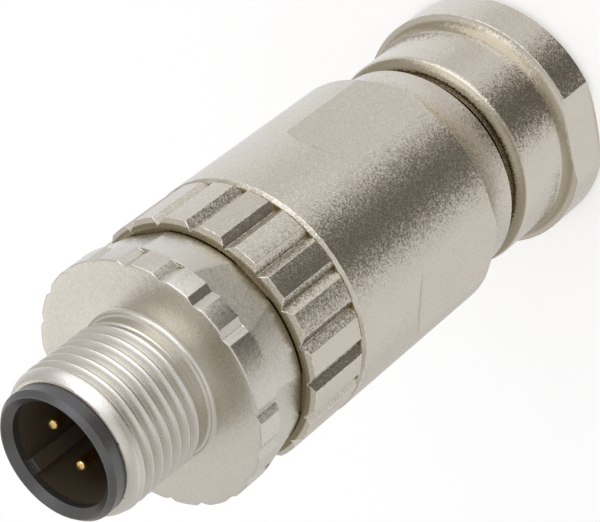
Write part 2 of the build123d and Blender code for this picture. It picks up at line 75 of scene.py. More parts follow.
class Tree:
    """A node tree in the making, with short calls for its nodes and links."""

    def __init__(self, tree: bpy.types.NodeTree) -> None:
        """Keep the tree to be filled.

        Args:
            tree: The node tree of a material or of the world.
        """
        self.tree = tree
        self.tree.nodes.clear()

    def add(self, kind: str, **values: object) -> bpy.types.Node:
        """Add a node and set its attributes and input values.

        Args:
            kind: The node's type, without its ShaderNode prefix.
            **values: Attribute names, or input names written with underscores.

        Returns:
            The new node.
        """
        node = self.tree.nodes.new("ShaderNode" + kind)
        for name, value in values.items():
            socket = node.inputs.get(name.replace("_", " "))
            if socket is not None:
                socket.default_value = value
            else:
                setattr(node, name, value)
        return node

    def link(self, source: bpy.types.NodeSocket, target: bpy.types.NodeSocket) -> None:
        """Join an output to an input."""
        self.tree.links.new(source, target)

    def ramp(
        self, source: bpy.types.NodeSocket, low: float, high: float, start: float, end: float
    ) -> bpy.types.NodeSocket:
        """Spread a value smoothly between two others.

        Args:
            source: The value to spread.
            low: The source value at the start.
            high: The source value at the end.
            start: The result at the low value.
            end: The result at the high value.

        Returns:
            The output socket of the spread value.
        """
        node = self.add("MapRange", interpolation_type="SMOOTHSTEP")
        ends = {"From Min": low, "From Max": high, "To Min": start, "To Max": end}
        for name, value in ends.items():
            node.inputs[name].default_value = value
        self.link(source, node.inputs["Value"])
        return node.outputs["Result"]

    def math(self, operation: str, first: Source, second: Source) -> bpy.types.NodeSocket:
        """Join two values by a sum, a product or the like.

        Args:
            operation: The name of the Math node's operation.
            first: A socket or a number.
            second: A socket or a number.

        Returns:
            The output socket of the result.
        """
        node = self.add("Math", operation=operation)
        for socket, source in zip(node.inputs, (first, second)):
            self.feed(source, socket)
        return node.outputs["Value"]

    def vector_math(
        self, operation: str, *sources: bpy.types.NodeSocket | Vector | Colour, **values: object
    ) -> bpy.types.Node:
        """Join vectors by a sum, a product or the like.

        Args:
            operation: The name of the Vector Math node's operation.
            *sources: Sockets or vectors, for the node's first inputs.
            **values: Values of its other inputs.

        Returns:
            The new node.
        """
        node = self.add("VectorMath", operation=operation, **values)
        for socket, source in zip(node.inputs, sources):
            if isinstance(source, bpy.types.NodeSocket):
                self.link(source, socket)
            else:
                socket.default_value = source
        return node

    def split(self, place: bpy.types.NodeSocket) -> bpy.types.Node:
        """Split coordinates into X, Y and Z.

        Args:
            place: The socket of the coordinates.

        Returns:
            The node with the three outputs.
        """
        parts = self.add("SeparateXYZ")
        self.link(place, parts.inputs["Vector"])
        return parts

    def feed(self, source: Source, target: bpy.types.NodeSocket) -> None:
        """Link a socket to an input, or write a number or colour into it.

        Args:
            source: A socket, a number or a colour.
            target: The input.
        """
        if isinstance(source, bpy.types.NodeSocket):
            self.link(source, target)
        elif isinstance(source, tuple):
            target.default_value = (*source, 1.0)
        else:
            target.default_value = source

    def blend(
        self, share: bpy.types.NodeSocket, first: Source, second: Source
    ) -> bpy.types.NodeSocket:
        """Mix two colours by a share.

        Args:
            share: How much of the second colour shows.
            first: The colour at a share of zero, or its socket.
            second: The colour at a share of one, or its socket.

        Returns:
            The output socket of the mixed colour.
        """
        node = self.add("Mix", data_type="RGBA")
        ends = [socket for socket in node.inputs if socket.type == "RGBA"]
        self.feed(first, ends[0])
        self.feed(second, ends[1])
        self.link(share, node.inputs["Factor"])
        return next(socket for socket in node.outputs if socket.type == "RGBA")

    def noise(
        self, place: bpy.types.NodeSocket, size: float, detail: float
    ) -> bpy.types.NodeSocket:
        """Add noise of a given size.

        Args:
            place: The socket of the coordinates.
            size: The size of its coarsest grains, in metres.
            detail: How many finer layers it has.

        Returns:
            The output socket of the noise, around a half.
        """
        node = self.add("TexNoise", Scale=1.0 / size, Detail=detail)
        self.link(place, node.inputs["Vector"])
        return node.outputs["Fac"]


@dataclass(frozen=True)
class PaintedShadeBelt:
    """A belt of heights with painted shade: the metal's colour turns darker there, with soft ends.
    """

    low: float
    high: float
    colour: Colour
    fade: float = 0.1 * MM


@dataclass(frozen=True)
class Finish:
    """One finish: its colours, its gloss, its grain, and how its edges and crevices look.

    The shade is the colour of the slow patches. The speckle is how much darker than it the fine
    specks are, and the sparkle how far the facets tilt. The glint is how bright the painted
    highlights on the edges get. The crevice is how far off a wall still shelters a point, where
    painted shade darkens the colour in hollows and between parts. The belts are bands of heights
    with painted shade. The spans say where a noise or another measure turns from no effect to its
    full effect.
    """

    SAMPLES: ClassVar[int] = 4
    DETAIL: ClassVar[float] = 3.0
    PATCH_SPAN: ClassVar[Span] = (0.3, 0.7)
    SPECK_SPAN: ClassVar[Span] = (0.4, 0.62)
    SPECK_DETAIL: ClassVar[float] = 1.0
    SPECKS_TO_GRAIN: ClassVar[float] = 0.8
    SHELTER_SPAN: ClassVar[Span] = (0.35, 0.9)
    GRAIN_SPAN: ClassVar[Span] = (0.35, 0.65)
    LEAST_ROUGHNESS: ClassVar[float] = 0.02
    EDGE_SPAN: ClassVar[Span] = (0.93, 0.997)
    BREAK_SPAN: ClassVar[Span] = (0.42, 0.55)
    BREAK_DETAIL: ClassVar[float] = 2.0
    BREAKS_TO_GRAIN: ClassVar[float] = 4.0

    name: str
    colour: Colour
    shade: Colour
    metallic: float
    roughness: float
    roughness_spread: float
    patch_size: float
    grain_size: float
    grain_height: float
    speckle: float = 0.0
    sparkle: float = 0.0
    # Painted shade: near walls, in hollows and between parts, the colour turns to a dark olive.
    shade_reach: float = 0.0
    painted_shade_colour: Colour = (0.3, 0.24, 0.14)
    # Painted shade: bands of heights in which the colour turns darker and browner.
    shade_belts: tuple[PaintedShadeBelt, ...] = ()
    # Painted highlight: the edges get a near white colour in broken lines.
    painted_glint: float = 0.0
    painted_glint_colour: Colour = (1.0, 0.98, 0.94)
    edge_radius: float = 0.06 * MM
    specular: float = 0.5

    def build(self) -> bpy.types.Material:
        """Make the material of this finish.

        Returns:
            The new material.
        """
        material = bpy.data.materials.new(self.name)
        material.use_nodes = True
        tree = Tree(material.node_tree)
        out = tree.add("OutputMaterial")
        shader = tree.add("BsdfPrincipled", Metallic=self.metallic)
        shader.inputs["Specular IOR Level"].default_value = self.specular
        place = tree.add("TexCoord").outputs["Object"]
        grain = tree.noise(place, self.grain_size, self.DETAIL)
        rounded = tree.add("Bevel", samples=self.SAMPLES, Radius=self.edge_radius)
        # The colour gets painted highlights on its edges.
        highlighted = self.paint_edge_highlights(tree, place, rounded.outputs["Normal"], self.tint(tree, place))
        tree.link(highlighted, shader.inputs["Base Color"])
        tree.link(self.gloss(tree, place, grain), shader.inputs["Roughness"])
        bump = tree.add("Bump", Strength=1.0, Distance=self.grain_height)
        tree.link(grain, bump.inputs["Height"])
        tree.link(rounded.outputs["Normal"], bump.inputs["Normal"])
        tree.link(self.facets(tree, place, bump.outputs["Normal"]), shader.inputs["Normal"])
        tree.link(shader.outputs["BSDF"], out.inputs["Surface"])
        return material

    def paint_edge_highlights(
        self,
        tree: Tree,
        place: bpy.types.NodeSocket,
        rounded: bpy.types.NodeSocket,
        colour: bpy.types.NodeSocket,
    ) -> bpy.types.NodeSocket:
        """Paint highlights on the edges in broken lines, by brightening the colour there.

        Args:
            tree: The node tree being filled.
            place: The socket of the object coordinates.
            rounded: The socket of the normal that the edges are rounded with.
            colour: The socket of the colour so far.

        Returns:
            The socket of the colour.
        """
        if self.painted_glint == 0.0:
            return colour
        plain = tree.add("NewGeometry").outputs["Normal"]
        turned = tree.vector_math("DOT_PRODUCT", rounded, plain)
        edge = tree.ramp(turned.outputs["Value"], *self.EDGE_SPAN, self.painted_glint, 0.0)
        breaks = tree.noise(place, self.BREAKS_TO_GRAIN * self.grain_size, self.BREAK_DETAIL)
        broken = tree.ramp(breaks, *self.BREAK_SPAN, 0.0, 1.0)
        return tree.blend(tree.math("MULTIPLY", edge, broken), colour, self.painted_glint_colour)

    def facets(
        self, tree: Tree, place: bpy.types.NodeSocket, normal: bpy.types.NodeSocket
    ) -> bpy.types.NodeSocket:
        """Tilt the normal at random in small cells, as bead blasting leaves the metal.

        Args:
            tree: The node tree being filled.
            place: The socket of the object coordinates.
            normal: The socket of the normal.

        Returns:
            The socket of the tilted normal.
        """
        if self.sparkle == 0.0:
            return normal
        cells = tree.add("TexVoronoi", Scale=1.0 / self.grain_size)
        tree.link(place, cells.inputs["Vector"])
        centred = tree.vector_math("SUBTRACT", cells.outputs["Color"], GREY)
        tilt = tree.vector_math("SCALE", centred.outputs["Vector"], Scale=self.sparkle)
        total = tree.vector_math("ADD", normal, tilt.outputs["Vector"])
        return tree.vector_math("NORMALIZE", total.outputs["Vector"]).outputs["Vector"]

    def gloss(
        self, tree: Tree, place: bpy.types.NodeSocket, grain: bpy.types.NodeSocket
    ) -> bpy.types.NodeSocket:
        """Spread the roughness over the grain.

        Args:
            tree: The node tree being filled.
            place: The socket of the object coordinates.
            grain: The socket of the grain.

        Returns:
            The socket of the roughness.
        """
        low = max(self.LEAST_ROUGHNESS, self.roughness - self.roughness_spread)
        return tree.ramp(grain, *self.GRAIN_SPAN, low, self.roughness + self.roughness_spread)

    def tint(self, tree: Tree, place: bpy.types.NodeSocket) -> bpy.types.NodeSocket:
        """Mix the colour with its shade and darker specks, and add painted shade in hollows and
        bands.

        Args:
            tree: The node tree being filled.
            place: The socket of the object coordinates.

        Returns:
            The socket of the colour.
        """
        patches = tree.noise(place, self.patch_size, self.DETAIL)
        mixed = tree.blend(tree.ramp(patches, *self.PATCH_SPAN, 0.0, 1.0), self.colour, self.shade)
        if self.speckle > 0.0:
            dark = tuple(part * (1.0 - self.speckle) for part in self.shade)
            specks = tree.noise(place, self.grain_size * self.SPECKS_TO_GRAIN, self.SPECK_DETAIL)
            mixed = tree.blend(tree.ramp(specks, *self.SPECK_SPAN, 0.0, 1.0), mixed, dark)
        # Painted shade: the less open a point is, the more its colour turns to a dark olive.
        if self.shade_reach > 0.0:
            shelter = tree.add("AmbientOcclusion", samples=self.SAMPLES, Distance=self.shade_reach)
            share = tree.ramp(shelter.outputs["AO"], *self.SHELTER_SPAN, 1.0, 0.0)
            mixed = tree.blend(share, mixed, self.painted_shade_colour)
        # Painted shade: the colour turns darker and browner in bands of heights.
        if self.shade_belts:
            height = tree.split(place).outputs["Z"]
            for belt in self.shade_belts:
                risen = tree.ramp(height, belt.low, belt.low + belt.fade, 0.0, 1.0)
                ended = tree.ramp(height, belt.high - belt.fade, belt.high, 1.0, 0.0)
                mixed = tree.blend(tree.math("MULTIPLY", risen, ended), mixed, belt.colour)
        return mixed


@dataclass(frozen=True)
class CavityFinish(Finish):
    """A finish with painted shade inside a round cavity on the axis, where it turns dark brown and
    matt.
    """

    # Painted shade: the cavity's dark brown colour.
    cavity_painted_shade: Colour = (0.066, 0.04, 0.013)
    cavity_radius: float = 4.35 * MM
    cavity_top: float = 55.15 * MM
    cavity_fade: float = 0.4 * MM
    cavity_edge: float = 0.1 * MM
    cavity_roughness: float = 0.85

    def position(
        self, tree: Tree, place: bpy.types.NodeSocket
    ) -> tuple[bpy.types.NodeSocket, bpy.types.NodeSocket]:
        """Find a point's distance from the axis and its height.

        Args:
            tree: The node tree being filled.
            place: The socket of the object coordinates.

        Returns:
            The sockets of the distance and of the height.
        """
        parts = tree.split(place)
        across = tree.math("POWER", parts.outputs["X"], 2.0)
        along = tree.math("POWER", parts.outputs["Y"], 2.0)
        return tree.math("SQRT", tree.math("ADD", across, along), 0.0), parts.outputs["Z"]

    def inside(self, tree: Tree, place: bpy.types.NodeSocket) -> bpy.types.NodeSocket:
        """Find how far a point is inside the cavity.

        Args:
            tree: The node tree being filled.
            place: The socket of the object coordinates.

        Returns:
            The socket of a share, which is one inside and zero outside.
        """
        reach, height = self.position(tree, place)
        wall = self.cavity_radius
        near = tree.ramp(reach, wall, wall + self.cavity_edge, 1.0, 0.0)
        low = tree.ramp(height, self.cavity_top - self.cavity_fade, self.cavity_top, 1.0, 0.0)
        return tree.math("MULTIPLY", near, low)

    def gloss(
        self, tree: Tree, place: bpy.types.NodeSocket, grain: bpy.types.NodeSocket
    ) -> bpy.types.NodeSocket:
        """Spread the roughness over the grain, and make the cavity matt.

        Args:
            tree: The node tree being filled.
            place: The socket of the object coordinates.
            grain: The socket of the grain.

        Returns:
            The socket of the roughness.
        """
        outside = super().gloss(tree, place, grain)
        share = self.inside(tree, place)
        kept = tree.math("MULTIPLY", outside, tree.math("SUBTRACT", 1.0, share))
        return tree.math("ADD", kept, tree.math("MULTIPLY", share, self.cavity_roughness))

    def tint(self, tree: Tree, place: bpy.types.NodeSocket) -> bpy.types.NodeSocket:
        """Add the cavity's painted shade to the patches and specks.

        Args:
            tree: The node tree being filled.
            place: The socket of the object coordinates.

        Returns:
            The socket of the colour.
        """
        return tree.blend(self.inside(tree, place), super().tint(tree, place), self.cavity_painted_shade)


BLASTED = Finish(
    name="nickel_blasted",
    colour=(0.665, 0.605, 0.51),
    shade=(0.645, 0.585, 0.49),
    metallic=1.0,
    roughness=0.29,
    roughness_spread=0.05,
    patch_size=2.5 * MM,
    grain_size=0.12 * MM,
    grain_height=0.008 * MM,
    speckle=0.05,
    sparkle=0.18,
    # Painted highlights on the edges, painted shade in hollows, and a band of painted shade at the
    # heights just under the flange.
    painted_glint=1.0,
    edge_radius=0.1 * MM,
    shade_reach=0.6 * MM,
    shade_belts=(PaintedShadeBelt(39.66 * MM, 41.0 * MM, (0.25, 0.21, 0.135)),),
)
TURNED = Finish(
    name="nickel_turned",
    colour=(0.665, 0.605, 0.51),
    shade=(0.645, 0.585, 0.49),
    metallic=1.0,
    roughness=0.23,
    roughness_spread=0.05,
    patch_size=2.5 * MM,
    grain_size=0.11 * MM,
    grain_height=0.006 * MM,
    speckle=0.05,
    sparkle=0.17,
    # Painted highlights on the edges, painted shade in hollows, and bands of painted shade on the
    # nut's flare and on its lip by the sleeve.
    painted_glint=1.0,
    edge_radius=0.1 * MM,
    shade_reach=0.6 * MM,
    shade_belts=(
        PaintedShadeBelt(4.05 * MM, 5.2 * MM, (0.38, 0.325, 0.235), 0.25 * MM),
        PaintedShadeBelt(10.15 * MM, 11.6 * MM, (0.37, 0.32, 0.235), 0.15 * MM),
    ),
)
SATIN = Finish(
    name="nickel_satin",
    colour=(0.675, 0.635, 0.56),
    shade=(0.655, 0.615, 0.535),
    metallic=1.0,
    roughness=0.31,
    roughness_spread=0.04,
    patch_size=3.0 * MM,
    grain_size=0.16 * MM,
    grain_height=0.005 * MM,
    speckle=0.05,
    sparkle=0.06,
    # Painted highlights on the edges and painted shade in hollows.
    painted_glint=1.0,
    edge_radius=0.09 * MM,
    shade_reach=0.5 * MM,
)
THREADED = Finish(
    name="nickel_thread",
    colour=(0.68, 0.645, 0.58),
    shade=(0.66, 0.62, 0.555),
    metallic=1.0,
    roughness=0.3,
    roughness_spread=0.04,
    patch_size=1.5 * MM,
    grain_size=0.16 * MM,
    grain_height=0.006 * MM,
    speckle=0.03,
    edge_radius=0.04 * MM,
)
MOULDED = Finish(
    name="plastic_moulded",
    colour=(0.045, 0.046, 0.05),
    shade=(0.06, 0.06, 0.063),
    metallic=0.0,
    roughness=0.42,
    roughness_spread=0.08,
    patch_size=2.0 * MM,
    grain_size=0.12 * MM,
    grain_height=0.006 * MM,
    edge_radius=0.05 * MM,
)
INSERT = CavityFinish(
    name="plastic_insert",
    colour=(0.055, 0.051, 0.048),
    shade=(0.065, 0.061, 0.057),
    metallic=0.0,
    roughness=0.3,
    roughness_spread=0.05,
    specular=1.0,
    patch_size=1.5 * MM,
    grain_size=0.12 * MM,
    grain_height=0.006 * MM,
    edge_radius=0.05 * MM,
)
GOLD = Finish(
    name="contact_gold",
    colour=(0.9, 0.68, 0.28),
    shade=(0.82, 0.58, 0.22),
    metallic=1.0,
    roughness=0.22,
    roughness_spread=0.05,
    patch_size=0.6 * MM,
    grain_size=0.08 * MM,
    grain_height=0.002 * MM,
    edge_radius=0.04 * MM,
)
SEALING = Finish(
    name="seal_rubber",
    colour=(0.02, 0.02, 0.021),
    shade=(0.035, 0.034, 0.033),
    metallic=0.0,
    roughness=0.6,
    roughness_spread=0.08,
    patch_size=1.0 * MM,
    grain_size=0.09 * MM,
    grain_height=0.003 * MM,
    specular=0.35,
)
BRONZE = Finish(
    name="spring_bronze",
    colour=(0.75, 0.62, 0.42),
    shade=(0.68, 0.54, 0.35),
    metallic=1.0,
    roughness=0.3,
    roughness_spread=0.06,
    patch_size=1.0 * MM,
    grain_size=0.08 * MM,
    grain_height=0.002 * MM,
)
STEEL = Finish(
    name="plated_steel",
    colour=(0.62, 0.62, 0.62),
    shade=(0.52, 0.52, 0.53),
    metallic=1.0,
    roughness=0.3,
    roughness_spread=0.05,
    patch_size=0.8 * MM,
    grain_size=0.08 * MM,
    grain_height=0.002 * MM,
)


class Palette:
    """The materials that are in use, one for each finish."""

    def __init__(self) -> None:
        """Start with no material built."""
        self.built: dict[str, bpy.types.Material] = {}

    def paint(self, piece: bpy.types.Object, *finishes: Finish) -> None:
        """Put finishes on an object's material slots, the first one on the first slot.

        Args:
            piece: The object.
            *finishes: Its finishes, each built when it is first asked for.
        """
        piece.data.materials.clear()
        for finish in finishes:
            if finish.name not in self.built:
                self.built[finish.name] = finish.build()
            piece.data.materials.append(self.built[finish.name])


def show(name: str, data: bpy.types.ID) -> bpy.types.Object:
    """Put a mesh, a light or a camera into the scene.

    Args:
        name: The name of the new object.
        data: What the object shows.

    Returns:
        The new object.
    """
    body = bpy.data.objects.new(name, data)
    bpy.context.scene.collection.objects.link(body)
    return body


def smooth_by_angle(mesh: bpy.types.Mesh, degrees: float) -> None:
    """Shade a mesh smooth, apart from edges sharper than an angle."""
    mesh.shade_smooth()
    mesh.set_sharp_from_angle(angle=math.radians(degrees))


def arc(
    centre: tuple[float, float], radius: float, start: float, end: float, steps: int
) -> Outline:
    """Points on an arc of an outline.

    Args:
        centre: The arc's centre, as its radius and height.
        radius: The arc's own radius.
        start: The first direction in degrees, where 0 points outward and 90 up.
        end: The last direction in degrees.
        steps: How many stretches the arc is divided into.

    Returns:
        The points from the first to the last.
    """
    turns = [math.radians(start + (end - start) * step / steps) for step in range(steps + 1)]
    return [(centre[0] + radius * math.cos(t), centre[1] + radius * math.sin(t)) for t in turns]


def lathe(
    name: str, outline: Outline, angles: list[float], limit: Limit, closed: bool = True
) -> bpy.types.Object:
    """Turn an outline round the axis, with a rule that may pull points in.

    Args:
        name: The new object's name.
        outline: Points as radius and height, in order round the section.
        angles: The directions of the columns in degrees, in order.
        limit: Gives the radius of a point from its radius, height and direction.
        closed: Whether the last point joins the first.

    Returns:
        The new mesh object.
    """
    points = []
    for angle in angles:
        turn = math.radians(angle)
        for radius, height in outline:
            reach = limit(radius, height, angle)
            points.append((reach * math.cos(turn), reach * math.sin(turn), height))
    rows = len(outline)
    columns = len(angles)
    faces = []
    for column in range(columns):
        here = column * rows
        there = (column + 1) % columns * rows
        for row in range(rows if closed else rows - 1):
            above = (row + 1) % rows
            faces.append((here + row, there + row, there + above, here + above))
    mesh = bpy.data.meshes.new(name)
    mesh.from_pydata(points, [], faces)
    mesh.validate()
    return show(name, mesh)


def spaced(angles: list[float], least: float) -> list[float]:
    """Put directions in order, and drop near doubles.

    Args:
        angles: The directions in degrees.
        least: The least step between two of them that are kept.

    Returns:
        The directions that are kept.
    """
    found: list[float] = []
    for angle in sorted(angles):
        if not found or angle - found[-1] > least:
            found.append(angle)
    return found


def columns_with(step: float, lines: list[float], spread: list[float]) -> list[float]:
    """Mix an even set of column directions with a closer set around given lines.

    Args:
        step: The spacing of the even set, in degrees.
        lines: The directions that get a closer set.
        spread: The offsets of the closer set from each line.

    Returns:
        All directions from 0 to 360. Those of the even set that lie within a third of a step of
        the closer set are left out.
    """
    even = [step * turn for turn in range(round(360 / step))]
    near = [(line + offset) % 360 for line in lines for offset in spread]
    return near + [angle for angle in even if all(abs(angle - n) > step / 3 for n in near)]


def weld(body: bpy.types.Object, distance: float) -> None:
    """Merge the points of a mesh that lie close together.

    Args:
        body: The mesh object.
        distance: How close the merged points are.
    """
    work = bmesh.new()
    work.from_mesh(body.data)
    bmesh.ops.remove_doubles(work, verts=work.verts, dist=distance)
    bmesh.ops.recalc_face_normals(work, faces=work.faces)
    work.to_mesh(body.data)
    work.free()


def join(name: str, bodies: list[bpy.types.Object]) -> bpy.types.Object:
    """Join mesh objects into one.

    Args:
        name: The name of the joined object.
        bodies: The objects, which all have the same material slots.

    Returns:
        The joined object.
    """
    work = bmesh.new()
    for body in bodies:
        work.from_mesh(body.data)
    mesh = bodies[0].data.copy()
    mesh.name = name
    work.to_mesh(mesh)
    work.free()
    piece = show(name, mesh)
    for body in bodies:
        bpy.data.objects.remove(body)
    return piece


def apart(first: float, second: float) -> float:
    """The angle between two directions in degrees, from 0 to 180."""
    return abs((first - second + 180) % 360 - 180)


@dataclass
class CouplingScrew:
    """The M12 screw: a threaded tube on a flange with notches and drafted spanner flats.

    Angles are in degrees. The knots are the points along one pitch of the thread. The creases are
    the angles above which an edge is shaded sharp.
    """

    crest: float = 6.0 * MM
    root: float = 5.5 * MM
    crest_width: float = 0.65
    pitch: float = 1.0 * MM
    phase: float = 0.41
    columns: int = 216
    knots: int = 14
    turns_below: int = 2
    tube_low: float = 46.95 * MM
    tube_high: float = 54.7 * MM
    lead_in: float = 1.35 * MM
    lead_in_step: float = 0.5 * MM
    lead_in_curve: float = 2.2
    fade_start: float = 0.45
    run_out: float = 0.35 * MM
    run_out_fade: float = 1.0 * MM
    relief: float = 5.78 * MM
    relief_step: float = 0.12 * MM
    bore: float = 5.05 * MM
    flange_top: float = 45.9 * MM
    flange_bottom: float = 39.92 * MM
    band_bottom: float = 43.7 * MM
    flange_radius: float = 10.12 * MM
    rear_radius: float = 9.33 * MM
    flange_edge: float = 0.12 * MM
    foot_bevel: float = 0.1 * MM
    cone_step: float = 0.02 * MM
    cone_shares: tuple[float, ...] = (0.03, *(tenth / 10 for tenth in range(1, 11)))
    face_rim: float = 0.6 * MM
    face_middle: float = 8.0 * MM
    flat_depth: float = 0.45 * MM
    flat_foot_depth: float = 0.2 * MM
    flat_start: float = 30.0
    flat_count: int = 6
    flat_edge_start: float = 11.5
    flat_edge_step: float = 0.5
    flat_edge_count: int = 14
    notch_depth: float = 0.3 * MM
    notch_half_angle: float = 3.75
    notch_margin: float = 0.3
    notch_start: float = -42.0
    notch_step: float = 18.0
    notch_count: int = 19
    collar: float = 5.95 * MM
    collar_rounding: float = 0.32 * MM
    web_low: float = 44.1 * MM
    counterbore: float = 7.4 * MM
    wall: float = 0.5 * MM
    tolerance: float = 0.01 * MM
    column_step: float = 2.0
    least_column_step: float = 0.05
    thread_crease: float = 50.0
    bore_crease: float = 30.0
    flange_crease: float = 24.0
    thread_weld: float = 0.004 * MM
    screw_weld: float = 0.002 * MM

    def notches(self) -> list[float]:
        """Directions of the notches in degrees. One place of the even set stays plain."""
        return [self.notch_start + turn * self.notch_step for turn in range(self.notch_count)]

    def flats(self) -> list[float]:
        """Directions that the spanner flats face, in degrees."""
        return [self.flat_start + turn * 360 / self.flat_count for turn in range(self.flat_count)]

    def thread_radius(self, turn_share: float) -> float:
        """Radius of the thread's rounded profile.

        Args:
            turn_share: The place within one pitch, from 0 to 1, with the root at 0.

        Returns:
            The radius there.
        """
        rise = (0.5 - 0.5 * math.cos(2 * math.pi * turn_share)) ** self.crest_width
        return self.root + (self.crest - self.root) * rise

    def envelope(self, height: float) -> float:
        """Largest radius that the lead-in and the run-out leave.

        Args:
            height: The height of the point.

        Returns:
            The radius there.
        """
        top = self.tube_high - height
        if top < self.lead_in:
            share = 1.0 - top / self.lead_in
            return self.crest - self.lead_in_step * share**self.lead_in_curve
        above = height - self.tube_low
        return self.relief + (self.crest - self.relief) * min(1.0, above / self.run_out)

    def reach(self, turn_share: float, height: float) -> float:
        """Radius of the tube, whose turns fade out at both ends.

        Args:
            turn_share: The place within one pitch, from 0 to 1.
            height: The height of the point.

        Returns:
            The radius there.
        """
        most = self.envelope(height)
        depth = max(0.0, most - self.thread_radius(turn_share))
        below = (self.tube_high - height) / self.lead_in - self.fade_start
        above = (height - self.tube_low) / self.run_out_fade
        fade = min(1.0, max(0.0, below / (1.0 - self.fade_start)), max(0.0, above))
        return most - depth * fade

    def build_thread(self) -> bpy.types.Object:
        """Make the threaded tube, whose rows of points climb with the right-handed thread.

        Returns:
            The mesh object of the tube.
        """
        turns = math.ceil((self.tube_high - self.tube_low) / self.pitch) + 1
        rows = (turns + self.turns_below) * self.knots + 1
        points = []
        for column in range(self.columns + 1):
            share = column / self.columns
            turn = 2 * math.pi * share
            for row in range(rows):
                wound = row / self.knots - self.turns_below + share + self.phase
                height = min(self.tube_high, max(self.tube_low, self.tube_low + wound * self.pitch))
                radius = self.reach(row / self.knots % 1.0, height)
                points.append((radius * math.cos(turn), radius * math.sin(turn), height))
        faces = []
        for column in range(self.columns):
            for row in range(rows - 1):
                here = column * rows + row
                faces.append((here, here + rows, here + rows + 1, here + 1))
        mesh = bpy.data.meshes.new("screw_thread")
        mesh.from_pydata(points, [], faces)
        body = show("screw_thread", mesh)
        weld(body, self.thread_weld)
        smooth_by_angle(mesh, self.thread_crease)
        return body

    def build_bore(self) -> bpy.types.Object:
        """Make the flat end and the bore of the threaded tube.

        Returns:
            The mesh object of both.
        """
        rim = self.crest - self.lead_in_step
        outline = [(rim, self.tube_high), (self.bore, self.tube_high), (self.bore, self.tube_low)]
        directions = [360 * column / self.columns for column in range(self.columns)]
        body = lathe("screw_bore", outline, directions, lambda radius, *rest: radius, closed=False)
        smooth_by_angle(body.data, self.bore_crease)
        return body

    def limit(self, radius: float, height: float, angle: float) -> float:
        """Pull the flange's outer points in at the notches and at the spanner flats.

        Args:
            radius: The radius of the point in the flange's section.
            height: Its height.
            angle: Its direction.

        Returns:
            The radius that is left.
        """
        if radius < self.counterbore + self.wall or height > self.flange_top + self.tolerance:
            return radius
        if height >= self.band_bottom:
            away = min(apart(angle, notch) for notch in self.notches())
            depth = self.notch_depth * max(0.0, 1.0 - away / self.notch_half_angle)
            return min(radius, self.flange_radius - depth)
        away = min(apart(angle, flat) for flat in self.flats())
        share = (height - self.flange_bottom) / (self.band_bottom - self.flange_bottom)
        cone = self.rear_radius + (self.flange_radius - self.rear_radius) * share
        depth = self.flat_foot_depth + (self.flat_depth - self.flat_foot_depth) * share
        return min(radius, (cone - depth) / math.cos(math.radians(away)))

    def flange_outline(self) -> Outline:
        """Section of the flange: drafted cone, band, rounded edge, face, collar and relief.

        Returns:
            The points as radius and height, from the foot upward and back down the bore.
        """
        edge = self.flange_edge
        top = self.flange_top
        rounding = self.collar_rounding
        ledge = top + rounding
        cone_top = self.band_bottom - self.cone_step
        outline = [(self.rear_radius - self.foot_bevel, self.flange_bottom)]
        for share in self.cone_shares:
            radius = self.rear_radius + (self.flange_radius - self.rear_radius) * share
            outline.append((radius, self.flange_bottom + (cone_top - self.flange_bottom) * share))
        outline.append((self.flange_radius, self.band_bottom))
        outline += arc((self.flange_radius - edge, top - edge), edge, 0, 90, 4)
        outline += [(self.flange_radius - self.face_rim, top), (self.face_middle, top)]
        outline += arc((self.collar + rounding, ledge), rounding, 270, 180, 6)
        outline += [(self.relief, ledge + self.relief_step), (self.relief, self.tube_low)]
        outline += [(self.bore, self.tube_low), (self.bore, self.web_low)]
        outline += [(self.counterbore, self.web_low), (self.counterbore, self.flange_bottom)]
        return outline

    def build_flange(self) -> bpy.types.Object:
        """Make the flange with its notches, flats and collar.

        Returns:
            The mesh object of the flange.
        """
        half = self.notch_half_angle
        wide = half + self.notch_margin
        columns = columns_with(self.column_step, self.notches(), [-wide, -half, 0.0, half, wide])
        start = self.flat_edge_start
        steps = [start + self.flat_edge_step * step for step in range(self.flat_edge_count)]
        for flat in self.flats():
            columns += [(flat + side * step) % 360 for side in (-1, 1) for step in steps]
        columns = spaced(columns, self.least_column_step)
        body = lathe("screw_flange", self.flange_outline(), columns, self.limit)
        smooth_by_angle(body.data, self.flange_crease)
        return body

    def dress(self, palette: Palette) -> bpy.types.Object:
        """Build the parts of the screw, join them as one piece and put it on its body.

        Args:
            palette: The materials.

        Returns:
            The finished piece.
        """
        thread = self.build_thread()
        bore = self.build_bore()
        flange = self.build_flange()
        for body in (thread, bore, flange):
            palette.paint(body, SATIN, THREADED)
        for body in (thread, bore):
            for face in body.data.polygons:
                face.material_index = Zone.THREAD.value
        for face in flange.data.polygons:
            reach = math.hypot(face.center.x, face.center.y)
            raised = face.center.z > self.flange_top and reach < self.collar + self.collar_rounding
            face.material_index = Zone.THREAD.value if raised else Zone.FLANGE.value
        piece = join("coupling_screw_turned", [thread, bore, flange])
        weld(piece, self.screw_weld)
        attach(piece, "coupling_screw")
        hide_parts("coupling_screw")
        return piece


@dataclass
class SolidPieces:
    """Pieces that the frame's own solids show, each with its finish."""

    finishes: tuple[tuple[str, Finish], ...] = ()

    def dress(self, palette: Palette) -> None:
        """Put the finishes on the solids.

        Args:
            palette: The materials.
        """
        for node, finish in self.finishes:
            palette.paint(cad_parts[node], finish)
            LOG.info("%s is %s", node, finish.name)


@dataclass
class Housing(SolidPieces):
    """The plated housing: sleeve, grooved ring and pressure nut."""

    finishes: tuple[tuple[str, Finish], ...] = (
        ("sleeve", BLASTED),
        ("grip_ring", BLASTED),
        ("pressure_nut", TURNED),
    )


